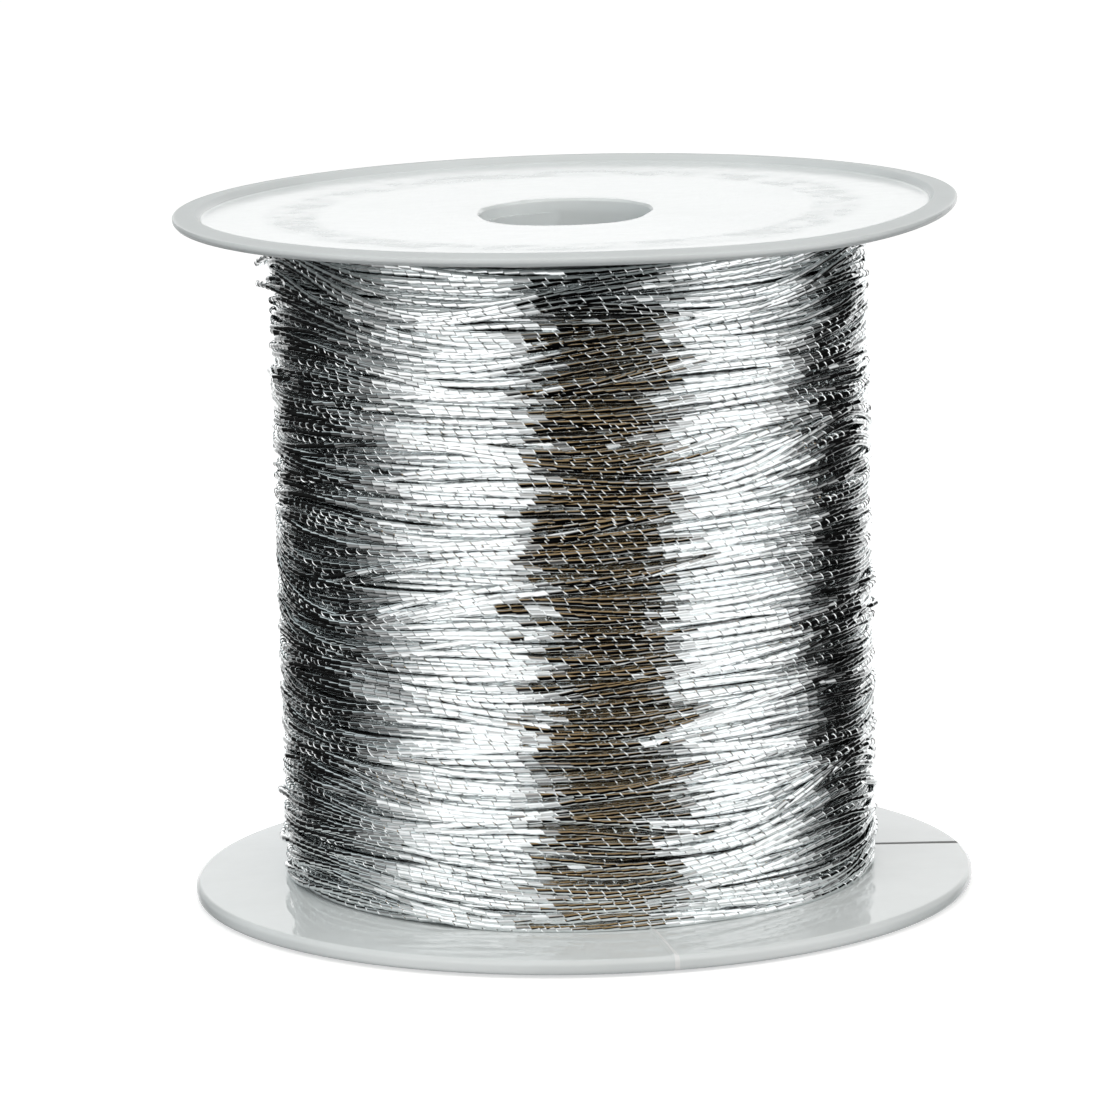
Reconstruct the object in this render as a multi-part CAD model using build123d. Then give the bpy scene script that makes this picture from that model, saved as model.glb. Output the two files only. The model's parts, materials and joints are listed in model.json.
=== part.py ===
"""Small spool of metallic thread: two moulded flanges on a drum, a bore tube, and the wound thread.

The spool stands on its lower flange, with its origin at the centre of the base and +Z up along the bore.
"""

import os

from build123d import *

# Driving dimensions, in millimetres.
SPOOL_H = 52.8
FLANGE_R = 30.0
FLANGE_T = 1.6
BORE_R = 6.5
DRUM_R = 19.5
WINDING_R = 22.6

# Flange section. The outer face lies inside a raised lip. The inner face thins from the winding to the rim.
LOWER_RIM_T = 1.3
UPPER_RIM_T = 0.85
RECESS = 0.6
LIP_W = 1.8
LIP_SLOPE = 0.7
EDGE_ROUND = 0.4
RIM_CHAMFER = 0.3
BORE_CHAMFER = 0.3

# Rings on the hidden side of each flange: one locates the drum and one holds the bore tube.
DRUM_WALL = 1.4
TUBE_WALL = 1.2
FIT_GAP = 0.05
SPIGOT_WALL = 1.2
SPIGOT_H = 2.0
COLLAR_WALL = 1.0
COLLAR_H = 2.0
RING_CHAMFER = 0.3

# Thread.
OUTER_LAYERS = 1.1
PACK_ROUND = 0.25

# Worked out from the above.
INNER_FACE_LOW = FLANGE_T
INNER_FACE_HIGH = SPOOL_H - FLANGE_T
DRUM_IN_R = DRUM_R - DRUM_WALL
TUBE_R = BORE_R + TUBE_WALL
SPIGOT_R = DRUM_IN_R - FIT_GAP
COLLAR_IN_R = TUBE_R + FIT_GAP
COLLAR_R = COLLAR_IN_R + COLLAR_WALL
INNER_PACK_R = WINDING_R - OUTER_LAYERS


def revolved(outline):
    """The solid that a closed outline of radius and height sweeps around Z."""
    return revolve(Plane.XZ * make_face(outline), Axis.Z)


def tube(r_in, r_out):
    """A plain tube with square ends, from flange to flange."""
    corners = [
        (r_in, INNER_FACE_LOW),
        (r_out, INNER_FACE_LOW),
        (r_out, INNER_FACE_HIGH),
        (r_in, INNER_FACE_HIGH),
    ]
    return revolved(Polyline(*corners, close=True))


def chamfered_ring(r_in, r_out, height):
    """A ring on the flange's inner face, with both top edges chamfered to lead it into its mate."""
    z_top = FLANGE_T + height
    corners = [
        (r_in, FLANGE_T),
        (r_out, FLANGE_T),
        (r_out, z_top - RING_CHAMFER),
        (r_out - RING_CHAMFER, z_top),
        (r_in + RING_CHAMFER, z_top),
        (r_in, z_top - RING_CHAMFER),
    ]
    return revolved(Polyline(*corners, close=True))


def flange_disc(rim_t):
    """The disc: a web, a raised lip outside, a rim of the thickness given, and a chamfer at the bore."""
    lip_in = FLANGE_R - LIP_W
    round_start = (FLANGE_R - EDGE_ROUND, 0)
    round_end = (FLANGE_R, EDGE_ROUND)
    faces = Polyline(
        round_end,
        (FLANGE_R, rim_t - RIM_CHAMFER),
        (FLANGE_R - RIM_CHAMFER, rim_t),
        (WINDING_R, FLANGE_T),
        (BORE_R, FLANGE_T),
        (BORE_R, RECESS + BORE_CHAMFER),
        (BORE_R + BORE_CHAMFER, RECESS),
        (lip_in - LIP_SLOPE, RECESS),
        (lip_in, 0),
        round_start,
    )
    edge = TangentArc(round_start, round_end, tangent=(1, 0))
    return revolved(faces + edge)


def flange(rim_t):
    """The disc with its two rings, as one moulding, lying on its lip."""
    spigot = chamfered_ring(SPIGOT_R - SPIGOT_WALL, SPIGOT_R, SPIGOT_H)
    collar = chamfered_ring(COLLAR_IN_R, COLLAR_R, COLLAR_H)
    return flange_disc(rim_t).fuse(spigot, collar)


def lower_flange():
    """The flange that the spool stands on, with the thicker rim."""
    return flange(LOWER_RIM_T)


def upper_flange():
    """The flange with the thinner rim, turned over onto the other end of the drum."""
    return Pos(0, 0, SPOOL_H) * Rot(180, 0, 0) * flange(UPPER_RIM_T)


def drum():
    """The tube that the thread is wound on. Its ends slide over the spigot rings and meet the flanges."""
    return tube(DRUM_IN_R, DRUM_R)


def bore_tube():
    """The tube that the spindle turns in, held by a collar at each end."""
    return tube(BORE_R, TUBE_R)


def thread_inner_layers():
    """The buried layers of thread, as one solid with the outline of the pack."""
    return tube(DRUM_R, INNER_PACK_R)


def thread_outer_layers():
    """The layers of thread that show, as one solid, rounded where they meet the flanges."""
    corners = [
        (INNER_PACK_R, INNER_FACE_LOW),
        (WINDING_R - PACK_ROUND, INNER_FACE_LOW),
        (WINDING_R, INNER_FACE_LOW + PACK_ROUND),
        (WINDING_R, INNER_FACE_HIGH - PACK_ROUND),
        (WINDING_R - PACK_ROUND, INNER_FACE_HIGH),
        (INNER_PACK_R, INNER_FACE_HIGH),
    ]
    return revolved(Polyline(*corners, close=True))


NODES = {
    "lower_flange": lower_flange,
    "upper_flange": upper_flange,
    "bore_tube": bore_tube,
    "drum": drum,
    "thread_inner_layers": thread_inner_layers,
    "thread_outer_layers": thread_outer_layers,
}

os.makedirs("parts", exist_ok=True)
for name, make in NODES.items():
    export_step(make(), f"parts/{name}.step")
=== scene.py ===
import json
import math

import bpy
import numpy as np
from mathutils import Matrix, Vector


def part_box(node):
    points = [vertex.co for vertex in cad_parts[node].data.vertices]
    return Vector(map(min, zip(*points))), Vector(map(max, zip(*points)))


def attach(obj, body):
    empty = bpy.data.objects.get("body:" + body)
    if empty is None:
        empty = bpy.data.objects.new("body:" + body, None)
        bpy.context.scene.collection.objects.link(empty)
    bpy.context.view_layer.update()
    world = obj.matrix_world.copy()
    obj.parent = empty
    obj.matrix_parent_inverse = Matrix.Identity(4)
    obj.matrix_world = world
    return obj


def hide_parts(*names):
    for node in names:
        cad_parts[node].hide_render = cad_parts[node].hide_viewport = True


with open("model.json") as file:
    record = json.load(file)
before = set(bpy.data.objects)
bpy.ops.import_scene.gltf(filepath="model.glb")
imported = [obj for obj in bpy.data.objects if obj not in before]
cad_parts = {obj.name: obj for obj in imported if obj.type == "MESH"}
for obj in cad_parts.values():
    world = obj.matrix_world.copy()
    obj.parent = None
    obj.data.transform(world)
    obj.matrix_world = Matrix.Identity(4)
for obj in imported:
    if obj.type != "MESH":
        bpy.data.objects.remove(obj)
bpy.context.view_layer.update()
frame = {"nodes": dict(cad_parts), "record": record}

MM = 0.001

# Azimuths are in degrees, 0 at the front (-Y) and 90 at the right (+X).

# Sizes that follow the CAD frame.
_, (FLANGE_R, _, _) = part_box("lower_flange")
_, (_, _, SPOOL_H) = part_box("upper_flange")
_, (CORE_R, _, _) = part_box("thread_inner_layers")
_, (DRUM_R, _, _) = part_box("drum")
(_, _, INNER_LOW), (WINDING_R, _, INNER_HIGH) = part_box("thread_outer_layers")
BORE_R = frame["record"]["mounts"][0]["dims"]["r_mm"] * MM
FLANGE_T = INNER_LOW

# Flange section, close to the CAD's, with its corners rounded as a mould leaves them.
LOWER_RIM_T = 1.3 * MM
UPPER_RIM_T = 0.85 * MM
RECESS = 0.6 * MM
LIP_W = 1.8 * MM
LIP_SLOPE = 0.45 * MM
RIM_CHAMFER = 0.3 * MM
EDGE_ROUND = 0.4 * MM
MOULD_ROUND = 0.14 * MM
LIP_FALL = 0.2 * MM  # of the lip from its inner edge to its outer one

# The wall that is seen through the bore is a skin on the bore tube, and its mouth is worn at the front.
SLEEVE_H = 4 * MM  # down to where the skin ends
SKIN_OUT = 0.05 * MM  # how far the skin reaches into the tube's wall
SKIN_IN = 0.03 * MM  # how far the skin stands proud of that wall
MOUTH_ROUND = 0.03 * MM
MOUTH_H = 0.1 * MM  # half the height of the step between the mouth's edge and the skin
FLAT_BORDER_IN = 1.6 * MM  # the flat of the web starts this far outside the bore
FLAT_BORDER_OUT = 0.6 * MM  # and ends this far inside the slope up to the lip
MOUTH_SINK = 0.12 * MM  # of the worn edge at the front
WALL_SINK = 0.4 * MM  # of the skin's top at the front, where the mouth is widest

# The mouldings are a little oval, off centre and wavy, and the upper one is bent and pressed on askew.
UPPER_OVAL, UPPER_SHIFT = 0.988, -0.44 * MM
LOWER_OVAL, LOWER_SHIFT = 0.994, -0.15 * MM
ASKEW_RIGHT = math.tan(math.radians(0.39))  # rise per metre towards the right
ASKEW_BACK = math.tan(math.radians(0.50))  # rise per metre towards the back
RIM_WAVE = 0.03 * MM
WEB_DISH = 0.15 * MM  # of the web towards the bore, at the front
RIM_LIFT = 0.15 * MM  # of the upper rim all round, from nothing at the bore
FRONT_LIFT = 0.12 * MM  # of the upper rim at the front
CORNER_DROP, CORNER_AZIMUTH, CORNER_WIDTH = 0.47 * MM, 43, 31  # of the upper rim at the front right

# Thread: a film strip wrapped round a core, a little flattened where it lies on the spool.
THREAD_W = 0.46 * MM
THREAD_T = 0.40 * MM
LAY_PITCH = 0.445 * MM
WRAP_PITCH = 1.18 * MM
SEAM_W = 0.07 * MM
SEAM_DEPTH = 0.024 * MM
SIDES = 10  # of the film round each wrap
STEPS_PER_TURN = 400
THREAD_PIECES = 8
SAME_WAY = 0.82  # how closely a turn follows the one before
HIGHEST_LIFT = 0.5 * MM  # of a strand's middle above the first layer's
OFF_CENTRE = 0.3 * MM  # the winding is fuller on the left than on the right

# How a strand strays: with its neighbours, slowly on its own, quickly on its own, and outwards.
SHARED_WAVE = 0.62 * MM
WANDER = 0.13 * MM
RIPPLE = 0.02 * MM
SLACK = 0.055 * MM
FIRST_LAYER_LOOSENESS = 0.15  # of the first layer, as a part of the second one's

CAMERA_DISTANCE = 0.4581  # from the middle of the spool
CAMERA_ELEVATION = math.radians(10.29)
CAMERA_ROLL = math.radians(1.34)
CAMERA_SENSOR, CAMERA_LENS = 36, 196.4
CAMERA_SHIFT = -0.0257, -0.0044


# ---------------------------------------------------------------- camera and light

def make_camera():
    """The camera: a long lens a little above the spool, rolled slightly."""
    back = Vector((0, -math.cos(CAMERA_ELEVATION), math.sin(CAMERA_ELEVATION)))
    right = Vector((1, 0, 0))
    up = back.cross(right)
    turn = Matrix((right, up, back)).transposed() @ Matrix.Rotation(-CAMERA_ROLL, 3, "Z")
    place = Vector((0, 0, SPOOL_H / 2)) + back * CAMERA_DISTANCE
    data = bpy.data.cameras.new("camera")
    data.sensor_width = CAMERA_SENSOR
    data.lens = CAMERA_LENS
    data.shift_x, data.shift_y = CAMERA_SHIFT
    data.clip_start = 0.01
    camera = bpy.data.objects.new("camera", data)
    camera.matrix_world = Matrix.Translation(place) @ turn.to_4x4()
    bpy.context.scene.collection.objects.link(camera)
    bpy.context.scene.camera = camera


def node(tree, kind, **values):
    """A new shader node, with its properties set."""
    new = tree.nodes.new(kind)
    for key, value in values.items():
        setattr(new, key, value)
    return new


def math_node(tree, operation, *inputs):
    """A Math node fed by sockets or numbers. Returns its output socket."""
    new = node(tree, "ShaderNodeMath", operation=operation)
    for i, value in enumerate(inputs):
        if isinstance(value, (int, float)):
            new.inputs[i].default_value = value
        else:
            tree.links.new(value, new.inputs[i])
    return new.outputs[0]


def ramp(tree, factor, stops):
    """A colour ramp through (position, brightness or colour) stops. Returns its colour socket."""
    new = node(tree, "ShaderNodeValToRGB")
    tree.links.new(factor, new.inputs[0])
    elements = new.color_ramp.elements
    while len(elements) < len(stops):
        elements.new(0.5)
    for element, (position, value) in zip(elements, stops):
        colour = (value,) * 3 if isinstance(value, (int, float)) else value
        element.position = position
        element.color = (*colour, 1)
    return new.outputs[0]


def blend(tree, factor, first, second, how="MIX"):
    """A colour mix. The factor is a socket or a number, and each colour is a socket or a tuple."""
    new = node(tree, "ShaderNodeMix", data_type="RGBA", blend_type=how)
    if isinstance(factor, (int, float)):
        new.inputs["Factor"].default_value = factor
    else:
        tree.links.new(factor, new.inputs["Factor"])
    for socket, colour in (("A", first), ("B", second)):
        if isinstance(colour, tuple):
            new.inputs[socket].default_value = (*colour, 1)
        else:
            tree.links.new(colour, new.inputs[socket])
    return new.outputs["Result"]


def room(tree, around, back, softbox, dim, dark, black):
    """Brightness of one height of the room by azimuth: two softboxes in front, and a pale wall behind."""
    stops = [
        (-180, back), (-168, back), (-157, 0.4 * back), (-147, dim), (-100, dim), (-81, 0.2),
        (-71, 0.7 * softbox), (-58, softbox), (-26, softbox), (-18, 0.5 * softbox), (-11, dark), (33, dark),
        (40, 0.5 * softbox), (48, softbox), (83, softbox), (97, 0.5 * softbox), (107, 0.1), (114, black),
        (140, black), (149, 0.5 * back), (157, back), (180, back),
    ]
    return ramp(tree, around, [((degrees + 180) / 360, value) for degrees, value in stops])


def soft_light(name, place, size, energy):
    """A large square light aimed at the spool, which lights the plastic and isn't mirrored in the film."""
    data = bpy.data.lights.new(name, "AREA")
    data.size = size
    data.energy = energy
    light = bpy.data.objects.new(name, data)
    light.location = place
    light.rotation_euler = Vector(place).to_track_quat("Z", "Y").to_euler()
    light.visible_glossy = False
    bpy.context.scene.collection.objects.link(light)


def make_studio():
    """Soft light all round, in three heights of the room: low, level with the spool, and high."""
    world = bpy.data.worlds.new("studio")
    world.use_nodes = True
    bpy.context.scene.world = world
    tree = world.node_tree
    tree.nodes.clear()
    place = node(tree, "ShaderNodeTexCoord").outputs["Generated"]
    split = node(tree, "ShaderNodeSeparateXYZ")
    tree.links.new(place, split.inputs[0])
    x, y, z = split.outputs
    azimuth = math_node(tree, "ARCTAN2", x, math_node(tree, "MULTIPLY", y, -1.0))
    around = math_node(tree, "MULTIPLY_ADD", azimuth, 0.5 / math.pi, 0.5)
    height = math_node(tree, "MULTIPLY_ADD", z, 0.5, 0.5)
    low = room(tree, around, back=0.7, softbox=0.85, dim=0.003, dark=0.001, black=0.002)
    level = room(tree, around, back=0.88, softbox=0.85, dim=0.008, dark=0.003, black=0.004)
    cool, warm = (0.4, 0.44, 0.45), (0.25, 0.175, 0.095)
    high = room(tree, around, back=0.55, softbox=0.85, dim=cool, dark=warm, black=0.02)
    lower_part = blend(tree, ramp(tree, height, [(0.38, 0.0), (0.44, 1.0)]), low, level)
    whole = blend(tree, ramp(tree, height, [(0.7, 0.0), (0.76, 1.0)]), lower_part, high)
    ends = ramp(tree, height, [(0.05, 0.35), (0.14, 1.0), (0.89, 1.0), (0.98, 0.5)])
    faded = blend(tree, 1.0, whole, ends, "MULTIPLY")
    studio = node(tree, "ShaderNodeBackground")
    studio.inputs["Strength"].default_value = 1.45
    tree.links.new(faded, studio.inputs["Color"])
    backdrop = node(tree, "ShaderNodeBackground")
    backdrop.inputs["Color"].default_value = (1, 1, 1, 1)
    choose = node(tree, "ShaderNodeMixShader")
    tree.links.new(node(tree, "ShaderNodeLightPath").outputs["Is Camera Ray"], choose.inputs[0])
    tree.links.new(studio.outputs[0], choose.inputs[1])
    tree.links.new(backdrop.outputs[0], choose.inputs[2])
    tree.links.new(choose.outputs[0], node(tree, "ShaderNodeOutputWorld").inputs["Surface"])
    bpy.context.scene.view_settings.view_transform = "Standard"
    soft_light("top_softbox", (0, 0, 0.6), 0.7, 0.55)
    soft_light("front_softbox", (0, -0.46, 0.39), 0.6, 1.1)


def make_floor():
    """A plain pale floor under the spool."""
    half = 1.5
    mesh = bpy.data.meshes.new("floor")
    corners = [(-half, -half, 0), (half, -half, 0), (half, half, 0), (-half, half, 0)]
    mesh.from_pydata(corners, [], [(0, 1, 2, 3)])
    floor = bpy.data.objects.new("floor", mesh)
    bpy.context.scene.collection.objects.link(floor)
    _, shader = new_material("floor")
    shader.inputs["Base Color"].default_value = (0.93, 0.93, 0.93, 1)
    shader.inputs["Roughness"].default_value = 0.6
    shader.inputs["Emission Color"].default_value = (1, 1, 1, 1)
    shader.inputs["Emission Strength"].default_value = 0.45
    mesh.materials.append(bpy.data.materials["floor"])
    floor.visible_glossy = False
    floor.visible_diffuse = False


# ---------------------------------------------------------------- materials

def new_material(name, metallic=0.0):
    """A Principled material. Returns its tree and its shader."""
    material = bpy.data.materials.new(name)
    material.use_nodes = True
    shader = material.node_tree.nodes["Principled BSDF"]
    shader.inputs["Metallic"].default_value = metallic
    return material.node_tree, shader


def noise(tree, place, scale, detail=3.0):
    """A noise texture. Returns its factor socket."""
    new = node(tree, "ShaderNodeTexNoise")
    new.inputs["Scale"].default_value = scale
    new.inputs["Detail"].default_value = detail
    tree.links.new(place, new.inputs["Vector"])
    return new.outputs["Fac"]


def bump(tree, shader, height, distance):
    """Bump from a height socket, with the distance in metres at full height."""
    new = node(tree, "ShaderNodeBump")
    new.inputs["Strength"].default_value = 1.0
    new.inputs["Distance"].default_value = distance
    tree.links.new(height, new.inputs["Height"])
    tree.links.new(new.outputs[0], shader.inputs["Normal"])


PLASTIC = (0.82, 0.865, 0.87)
# SHADED is painted shade, for where the thread pack lies behind the translucent web.
SHADED = (0.73, 0.775, 0.78)
# LIP_SHADE, SLOPE_SHADE and WALL_SHADE are painted shade, multiplied into the upper flange's colour on its
# lip, the slope up to it and the rim's wall.
LIP_SHADE = 0.8
SLOPE_SHADE = 0.85
WALL_SHADE = 0.93

# Mould lines on the lower flange: azimuth and half width in degrees, height, and a painted colour: a painted
# highlight on the raised line and painted shade in the sunk one.
MOULD_LINES_AND_PAINTED_LIGHT = [(12.5, 0.5, 0.15 * MM, (0.93, 0.95, 0.95)), (99.8, 0.9, -0.3 * MM, (0.3, 0.31, 0.31))]


def plastic_material(name, roughness, oval, shift, lipped, lines=()):
    """Cool white plastic with painted shade where the pack lies behind it, and, if lipped, matt on the lip
    and painted shade on the lip, slope and wall.

    lines lists (azimuth, half width, height, colour) of fine mould lines, in degrees and metres; the colour
    is a painted highlight on a raised line and painted shade in a sunk one.
    """
    tree, shader = new_material(name)
    shader.inputs["IOR"].default_value = 1.5
    shader.inputs["Subsurface Weight"].default_value = 0.2
    shader.inputs["Subsurface Radius"].default_value = (1.0, 1.0, 1.0)
    shader.inputs["Subsurface Scale"].default_value = 0.0012
    place = node(tree, "ShaderNodeTexCoord").outputs["Object"]
    split = node(tree, "ShaderNodeSeparateXYZ")
    tree.links.new(place, split.inputs[0])
    x, y, _ = split.outputs
    angle = math_node(tree, "ARCTAN2", x, math_node(tree, "MULTIPLY", y, -1.0))
    x = math_node(tree, "MULTIPLY_ADD", x, 1 / oval, -shift / oval)
    squares = math_node(tree, "MULTIPLY_ADD", x, x, math_node(tree, "MULTIPLY", y, y))
    across = math_node(tree, "DIVIDE", math_node(tree, "SQRT", squares), FLANGE_R)
    drum, pack = DRUM_R / FLANGE_R, WINDING_R / FLANGE_R
    # Painted shade of the pack behind the web, from the drum out to the winding, mottled by fine noise.
    band = ramp(tree, across, [(drum - 0.03, 0.0), (drum, 1.0), (pack - 0.02, 1.0), (pack + 0.03, 0.0)])
    cloud = noise(tree, place, 160.0, 4.0)
    shadow_mottling = ramp(tree, noise(tree, place, 420.0, 6.0), [(0.35, 0.1), (0.62, 1.0)])
    mottled_pack_shadow = math_node(tree, "MULTIPLY", band, shadow_mottling)
    whole = ramp(tree, cloud, [(0.3, tuple(0.95 * value for value in PLASTIC)), (0.6, PLASTIC)])
    colour = blend(tree, mottled_pack_shadow, whole, SHADED)
    rough = math_node(tree, "MULTIPLY_ADD", cloud, roughness, 0.5 * roughness)
    rough = math_node(tree, "MULTIPLY_ADD", mottled_pack_shadow, 0.15, rough)
    # Painted highlight along the raised mould line, painted shade along the sunk one.
    for azimuth, half_width, _, tint in lines:
        near = math_node(tree, "COMPARE", angle, math.radians(azimuth), math.radians(0.7 * half_width))
        colour = blend(tree, near, colour, tint)
    if lipped:
        # Painted shade on the slope, the lip and the rim's wall.
        web_out, lip_in = 1 - (LIP_W + LIP_SLOPE) / FLANGE_R, 1 - LIP_W / FLANGE_R
        shade = ramp(tree, across, [
            (web_out - 0.003, 1.0), (web_out + 0.003, SLOPE_SHADE), (lip_in - 0.002, SLOPE_SHADE),
            (lip_in + 0.002, LIP_SHADE), (0.996, LIP_SHADE), (0.9995, WALL_SHADE),
        ])
        colour = blend(tree, 1.0, colour, shade, "MULTIPLY")
        matt = ramp(tree, across, [(web_out, 0.0), (lip_in, 0.4), (0.99, 0.4), (0.998, 0.1)])
        rough = math_node(tree, "ADD", rough, matt)
    tree.links.new(colour, shader.inputs["Base Color"])
    tree.links.new(rough, shader.inputs["Roughness"])
    bump(tree, shader, noise(tree, place, 420.0, 5.0), 0.2 * roughness * MM)
    return bpy.data.materials[name]


def film_material():
    """Bright silver film: mirror-like along each wrap, with slight changes of tint and polish."""
    tree, shader = new_material("silver_film", metallic=1.0)
    place = node(tree, "ShaderNodeTexCoord").outputs["Object"]
    patches = noise(tree, place, 900.0, 2.0)
    tint = ramp(tree, patches, [(0.35, (0.84, 0.865, 0.865)), (0.6, (0.905, 0.935, 0.94))])
    tree.links.new(tint, shader.inputs["Base Color"])
    tree.links.new(math_node(tree, "MULTIPLY_ADD", patches, 0.06, 0.01), shader.inputs["Roughness"])
    return bpy.data.materials["silver_film"]


def pack_material():
    """The layers below, seen only as dark gaps between strands, in silver darkened with painted shade."""
    tree, shader = new_material("buried_thread", metallic=0.9)
    shader.inputs["Roughness"].default_value = 0.22
    place = node(tree, "ShaderNodeTexCoord").outputs["Object"]
    stretch = node(tree, "ShaderNodeMapping")
    stretch.inputs["Scale"].default_value = (0.1, 0.1, 1.0)
    tree.links.new(place, stretch.inputs["Vector"])
    strands = noise(tree, stretch.outputs[0], 2600.0, 2.0)
    # The buried silver is darkened with painted shade, streaked along the strands.
    tree.links.new(ramp(tree, strands, [(0.4, 0.12), (0.65, 0.7)]), shader.inputs["Base Color"])
    bump(tree, shader, strands, 0.2 * MM)
    return bpy.data.materials["buried_thread"]


# ---------------------------------------------------------------- flanges

def flange_section(rim_t):
    """Corners of a flange's section: radius, height above the lip's plane, and rounding."""
    web_out = FLANGE_R - LIP_W - LIP_SLOPE
    skin = BORE_R - SKIN_IN
    return [
        (BORE_R + SKIN_OUT, SLEEVE_H, 0.01 * MM), (skin, SLEEVE_H, 0.01 * MM),
        (skin, RECESS + MOUTH_H, MOUTH_ROUND), (BORE_R, RECESS, MOUTH_ROUND),
        (BORE_R + FLAT_BORDER_IN, RECESS, MOULD_ROUND), (web_out - FLAT_BORDER_OUT, RECESS, MOULD_ROUND),
        (web_out, RECESS, MOULD_ROUND),
        (FLANGE_R - LIP_W, 0.0, MOULD_ROUND), (FLANGE_R, LIP_FALL, EDGE_ROUND),
        (FLANGE_R, rim_t - RIM_CHAMFER, MOULD_ROUND),
        (FLANGE_R - RIM_CHAMFER, rim_t, MOULD_ROUND), (WINDING_R, FLANGE_T, MOULD_ROUND),
        (BORE_R + SKIN_OUT, FLANGE_T, MOULD_ROUND),
    ]


def rounded(corners, steps=5):
    """The closed outline with each corner turned into a short curve."""
    points = []
    count = len(corners)
    for i, (radius, height, rounding) in enumerate(corners):
        here = np.array([radius, height])
        before = np.array(corners[i - 1][:2]) - here
        after = np.array(corners[(i + 1) % count][:2]) - here
        reach = min(rounding, 0.45 * np.linalg.norm(before), 0.45 * np.linalg.norm(after))
        start = here + before / np.linalg.norm(before) * reach
        end = here + after / np.linalg.norm(after) * reach
        for t in np.linspace(0, 1, steps):
            points.append((1 - t) ** 2 * start + 2 * t * (1 - t) * here + t ** 2 * end)
    return np.array(points)


def bore_wear(phi):
    """How much wider the bore's mouth is than its wall: worn at the front, and rough all round."""
    worn = 0.75 * np.maximum(np.cos(phi), 0) ** 2
    rough = 0.05 * np.cos(7 * phi + 1) + 0.04 * np.cos(13 * phi)
    nick = 0.35 * np.exp(-((np.degrees(phi) + 155) / 5) ** 2)
    return (0.15 + worn + rough + nick) * MM


def flange_mesh(name, rim_t, lines, upside_down, oval, shift):
    """A lathed flange, with fine mould lines raised or sunk across its inner face."""
    outline = rounded(flange_section(rim_t))
    azimuths = set(np.linspace(-180, 180, 289)[:-1])
    for azimuth, half_width, _, _ in lines:
        azimuths.update(azimuth + half_width * part for part in (-1.3, -1.0, 0.0, 1.0, 1.3))
    phi = np.radians(sorted(azimuths))[:, None]
    r, z = outline[:, 0], outline[:, 1]
    down = np.clip((z - RECESS) / (SLEEVE_H - RECESS), 0, 1)
    at_bore = r < BORE_R + 1.5 * MOULD_ROUND
    at_mouth = at_bore & (z < RECESS + MOUTH_H / 2)
    wall_top = at_bore & ~at_mouth & (z < RECESS + 2 * MOUTH_H)
    near = np.maximum(np.cos(phi), 0)
    near_half = 0.5 + 0.5 * np.cos(phi)
    wide = r + at_mouth * bore_wear(phi)
    dished = WEB_DISH * near_half * (z < FLANGE_T / 2) * np.clip((20 * MM - r) / (14 * MM), 0, 1)
    sunk = MOUTH_SINK * at_mouth * near + (MOUTH_H + WALL_SINK * near) * wall_top
    wave = RIM_WAVE * (1 + np.cos(2 * phi + 0.6)) * (r / FLANGE_R) ** 2
    height = z + wave + dished + sunk
    inner_face = (z > rim_t - MOULD_ROUND / 2) & (r > WINDING_R - MM)
    for azimuth, _, rise, _ in lines:
        height = height + rise * inner_face * (np.abs(phi - math.radians(azimuth)) < math.radians(0.1))
    outward = np.clip((r - BORE_R) / (FLANGE_R - BORE_R), 0, 1)
    squeeze = 1 - (1 - oval) * outward
    x, y = wide * np.sin(phi) * squeeze + shift * (1 - at_bore * down), -wide * np.cos(phi)
    if upside_down:
        low_corner = CORNER_DROP * np.exp(-((np.degrees(phi) - CORNER_AZIMUTH) / CORNER_WIDTH) ** 2)
        bent = RIM_LIFT * outward + (FRONT_LIFT * near_half ** 2 - low_corner) * (r / FLANGE_R) ** 2
        height = SPOOL_H - height + ASKEW_RIGHT * x + ASKEW_BACK * y + bent
    points = np.stack([x, y, height], -1).reshape(-1, 3)
    rows, columns = len(phi), len(outline)
    i, j = np.meshgrid(np.arange(rows), np.arange(columns), indexing="ij")
    k, m = (i + 1) % rows, (j + 1) % columns
    faces = np.stack([i * columns + j, k * columns + j, k * columns + m, i * columns + m], -1).reshape(-1, 4)
    return mesh_from(name, points, faces[:, ::-1] if upside_down else faces)


def mesh_from(name, points, quads, others=()):
    """A smooth-shaded mesh from an array of quads and a list of other faces."""
    mesh = bpy.data.meshes.new(name)
    mesh.from_pydata(points.tolist(), [], quads.tolist() + list(others))
    mesh.update()
    mesh.polygons.foreach_set("use_smooth", np.ones(len(mesh.polygons), bool))
    return mesh


def make_flanges(polished, satin):
    """Both flanges. The lower one shows its mould lines on the side of the thread."""
    plans = [
        ("lower_flange", polished, (LOWER_RIM_T, MOULD_LINES_AND_PAINTED_LIGHT, False, LOWER_OVAL, LOWER_SHIFT)),
        ("upper_flange", satin, (UPPER_RIM_T, [], True, UPPER_OVAL, UPPER_SHIFT)),
    ]
    for name, material, shape in plans:
        piece_name = f"{name}_moulding"
        flange = bpy.data.objects.new(piece_name, flange_mesh(piece_name, *shape))
        flange.data.materials.append(material)
        bpy.context.scene.collection.objects.link(flange)
        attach(flange, "root")
        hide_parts(name)


# ---------------------------------------------------------------- thread

def smooth_noise(rng, count, step, shortest, longest):
    """Random waves along a path, with wavelengths in a band and unit spread."""
    spectrum = np.fft.rfft(rng.normal(size=count))
    frequency = np.fft.rfftfreq(count, step)
    band = (frequency > 1 / longest) & (frequency < 1 / shortest)
    wave = np.fft.irfft(spectrum * band / np.maximum(frequency, 1 / longest) ** 0.5, count)
    return wave / wave.std()


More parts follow.
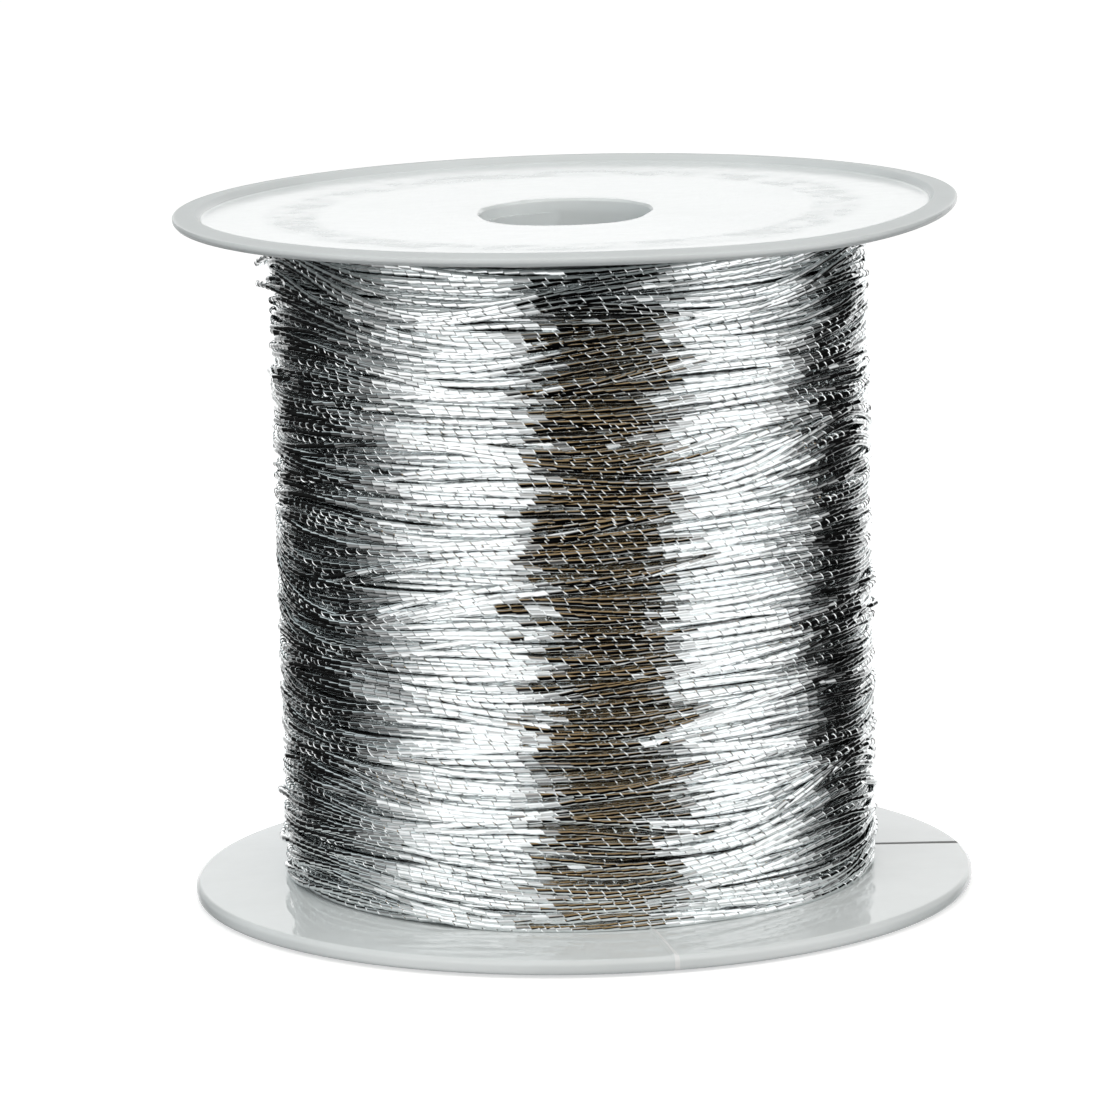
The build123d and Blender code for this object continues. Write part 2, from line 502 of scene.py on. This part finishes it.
def shared_waves(rng, turns):
    """Waves that each turn mostly takes over from the one before, as it is laid against it."""
    around = np.fft.rfftfreq(STEPS_PER_TURN, 1 / STEPS_PER_TURN)
    band = (around >= 1) & (around <= 5)
    rows = np.fft.irfft(np.fft.rfft(rng.normal(size=(turns + 1, STEPS_PER_TURN))) * band, STEPS_PER_TURN)
    rows /= rows.std()
    for i in range(1, turns + 1):
        rows[i] = SAME_WAY * rows[i - 1] + math.sqrt(1 - SAME_WAY ** 2) * rows[i]
    part = np.arange(STEPS_PER_TURN) / STEPS_PER_TURN
    return ((1 - part) * rows[:-1] + part * rows[1:]).ravel()


def lay_thread(rng):
    """Radius and height of every strand, one row a turn. Each strand lies on those wound before it."""
    turns = int((INNER_HIGH - INNER_LOW - THREAD_W) / LAY_PITCH)
    columns = STEPS_PER_TURN
    total = 2 * turns
    step = 2 * math.pi * WINDING_R / columns
    along = np.arange(total * columns) / columns
    phi = 2 * math.pi * (along % 1) - math.pi
    rise = np.where(along < turns, along, 2 * turns - along)
    loose = np.where(along < turns, FIRST_LAYER_LOOSENESS, 1.0)
    wander = WANDER * smooth_noise(rng, along.size, step, 20 * MM, 90 * MM)
    ripple = RIPPLE * smooth_noise(rng, along.size, step, 4 * MM, 14 * MM)
    z = INNER_LOW + THREAD_W / 2 + rise * LAY_PITCH
    z += loose * (SHARED_WAVE * shared_waves(rng, total) + wander + ripple)
    z = np.clip(z, INNER_LOW + THREAD_W / 2, INNER_HIGH - THREAD_W / 2).reshape(total, columns)
    ground = (CORE_R + THREAD_T / 2 + OFF_CENTRE * (1 - np.sin(phi))).reshape(total, columns)
    r = ground.copy()
    middle = z.mean(1)
    reach = 0.92 * THREAD_W
    kernel = np.hanning(11)
    kernel /= kernel.sum()
    for i in range(total):
        near = np.flatnonzero(np.abs(middle[:i] - middle[i]) < 5 * THREAD_W)
        if near.size:
            gap = np.abs(z[near] - z[i]) / reach
            lift = np.where(gap < 1, r[near] + THREAD_T * np.sqrt(np.clip(1 - gap ** 2, 0, 1)), 0)
            r[i] = np.maximum(r[i], lift.max(0))
        r[i] = np.minimum(r[i], ground[i] + HIGHEST_LIFT)
        spread = np.max([np.roll(r[i], k) for k in range(-3, 4)], axis=0)
        r[i] = np.convolve(np.pad(spread, 5, "wrap"), kernel, "valid")
    slack = SLACK * smooth_noise(rng, along.size, step, 5 * MM, 18 * MM)
    slack *= np.exp(0.4 * smooth_noise(rng, along.size, step, 30 * MM, 150 * MM))
    return r.ravel() + loose * slack, z.ravel(), turns


def add_loose_loops(r, z, turns):
    """Lifts a few slack stretches off the pack: (azimuth, height up the winding, lift, sag, length)."""
    loops = [
        (-97, 0.955, 1.2, -0.8, 8), (-88, 0.90, 0.9, 0.5, 8), (-93, 0.80, 0.35, 0.3, 6),
        (-90, 0.05, 0.5, -0.3, 7), (-86, 0.13, 0.4, 0.4, 6), (92, 0.62, 0.25, 0.3, 8),
        (86, 0.45, 0.25, -0.4, 8), (95, 0.28, 0.3, 0.4, 9), (88, 0.12, 0.25, -0.3, 8),
        (150, 0.7, 0.5, 0.4, 8), (-150, 0.4, 0.5, -0.4, 8), (170, 0.2, 0.4, 0.3, 8),
    ]
    columns = STEPS_PER_TURN
    for azimuth, height, lift, sag, length in loops:
        turn = 2 * turns - int(height * turns) - 1
        centre = turn * columns + int((azimuth + 180) / 360 * columns)
        half = int(length * MM / (2 * math.pi * WINDING_R / columns))
        span = np.arange(centre - half, centre + half)
        span = span[(span >= 0) & (span < r.size)]
        shape = 0.5 + 0.5 * np.cos((span - centre) / half * math.pi)
        r[span] += lift * MM * shape
        z[span] += sag * MM * shape
    return r, z


def strand_frames(r, z):
    """Points along the thread, the outward and upward directions there, and the distance along it."""
    phi = np.arange(r.size) / STEPS_PER_TURN * 2 * math.pi - math.pi
    points = np.stack([r * np.sin(phi), -r * np.cos(phi), z], 1)
    tangent = np.gradient(points, axis=0)
    tangent /= np.linalg.norm(tangent, axis=1)[:, None]
    outward = np.stack([np.sin(phi), -np.cos(phi), np.zeros_like(phi)], 1)
    outward -= (outward * tangent).sum(1)[:, None] * tangent
    outward /= np.linalg.norm(outward, axis=1)[:, None]
    upward = np.cross(outward, tangent)
    upward *= np.sign(upward[:, 2:3])
    lengths = np.linalg.norm(np.diff(points, axis=0), axis=1)
    return points, outward, upward, np.concatenate([[0], np.cumsum(lengths)])


def wrap_film(rng, path):
    """Pairs of points of the wrapped film, SIDES of them round each wrap, on the two edges of its seam."""
    points, outward, upward, along = path
    m = np.arange(int(along[-1] / WRAP_PITCH - 3) * SIDES)
    wraps = m.size // SIDES + 1
    angle = -2 * math.pi * m / SIDES
    drift = 0.4 * WRAP_PITCH * smooth_noise(rng, wraps, 1.0, 25.0, 200.0)
    start = m / SIDES * WRAP_PITCH + np.interp(m / SIDES, np.arange(wraps), drift) + WRAP_PITCH
    tilt = np.interp(m / SIDES, np.arange(wraps), 0.15 * smooth_noise(rng, wraps, 1.0, 8.0, 60.0))
    depth = np.interp(m / SIDES, np.arange(wraps), 0.3 + 1.1 * smooth_noise(rng, wraps, 1.0, 8.0, 80.0))
    depth = 2 * SEAM_DEPTH / THREAD_T * np.clip(depth, -1.8, 1.8)
    taper = np.repeat(rng.normal(0, 0.035, wraps + 1), SIDES)
    rings = []
    for offset, scale in ((0.0, 1 + taper[:m.size]), (SEAM_W, 1 - depth - taper[SIDES:SIDES + m.size])):
        frames = []
        for values in (points, outward, upward):
            frames.append(np.stack([np.interp(start + offset, along, values[:, i]) for i in range(3)], 1))
        cos, sin = np.cos(angle), np.sin(angle)
        a = np.sign(cos) * np.abs(cos) ** 0.85 * THREAD_T / 2
        b = np.sign(sin) * np.abs(sin) ** 0.95 * THREAD_W / 2
        out_part = (a * np.cos(tilt) - b * np.sin(tilt)) * scale
        up_part = (a * np.sin(tilt) + b * np.cos(tilt)) * scale
        rings.append(frames[0] + frames[1] * out_part[:, None] + frames[2] * up_part[:, None])
    return np.stack(rings, 1), start


def thread_piece(name, film, first, last):
    """A stretch of the wrapped film with closed ends. Wraps meet at a small step along a slanting seam."""
    vertices = film[first:last + SIDES + 1].reshape(-1, 3)
    q = np.arange(last - first)
    step = np.stack([2 * q, 2 * q + 2, 2 * q + 3, 2 * q + 1], 1)
    body = np.stack([2 * q + 1, 2 * q + 3, 2 * (q + SIDES + 1), 2 * (q + SIDES)], 1)
    ends = []
    for at, turned in ((0, -1), (last - first, 1)):
        loop = [2 * (at + k) for k in range(SIDES + 1)] + [2 * at + 1]
        ends.append(loop[::turned])
    mesh = mesh_from(name, vertices, np.concatenate([step, body]), ends)
    edges = np.empty(len(mesh.edges) * 2, np.int32)
    mesh.edges.foreach_get("vertices", edges)
    pairs = edges.reshape(-1, 2)
    crease = mesh.attributes.new("sharp_edge", "BOOLEAN", "EDGE")
    crease.data.foreach_set("value", pairs[:, 0] % 2 == pairs[:, 1] % 2)
    return mesh


def make_thread(material):
    """The winding: one thread in two layers, cut into pieces at the back of the spool."""
    rng = np.random.default_rng(7)
    r, z, turns = lay_thread(rng)
    r, z = add_loose_loops(r, z, turns)
    path = strand_frames(r, z)
    film, start = wrap_film(rng, path)
    cut_turns = np.linspace(0, 2 * turns, THREAD_PIECES + 1).astype(int)
    cut_lengths = path[3][np.minimum(cut_turns * STEPS_PER_TURN, r.size - 1)]
    cuts = np.clip(np.searchsorted(start, cut_lengths), 0, len(start) - SIDES - 1)
    for i in range(THREAD_PIECES):
        name = f"thread_turns_{i + 1}"
        piece = bpy.data.objects.new(name, thread_piece(name, film, cuts[i], cuts[i + 1]))
        piece.data.materials.append(material)
        bpy.context.scene.collection.objects.link(piece)
        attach(piece, "root")
        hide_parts("thread_outer_layers")


def finish_cad_nodes(plastic, pack):
    """Materials for the CAD nodes that stay."""
    for name, material in (("bore_tube", plastic), ("drum", plastic), ("thread_inner_layers", pack)):
        mesh = frame["nodes"][name].data
        mesh.materials.clear()
        mesh.materials.append(material)


make_camera()
make_studio()
make_floor()
satin_plastic = plastic_material("satin_plastic", 0.16, UPPER_OVAL, UPPER_SHIFT, True)
polished_plastic = plastic_material("polished_plastic", 0.06, LOWER_OVAL, LOWER_SHIFT, False, MOULD_LINES_AND_PAINTED_LIGHT)
make_flanges(polished_plastic, satin_plastic)
make_thread(film_material())
finish_cad_nodes(polished_plastic, pack_material())
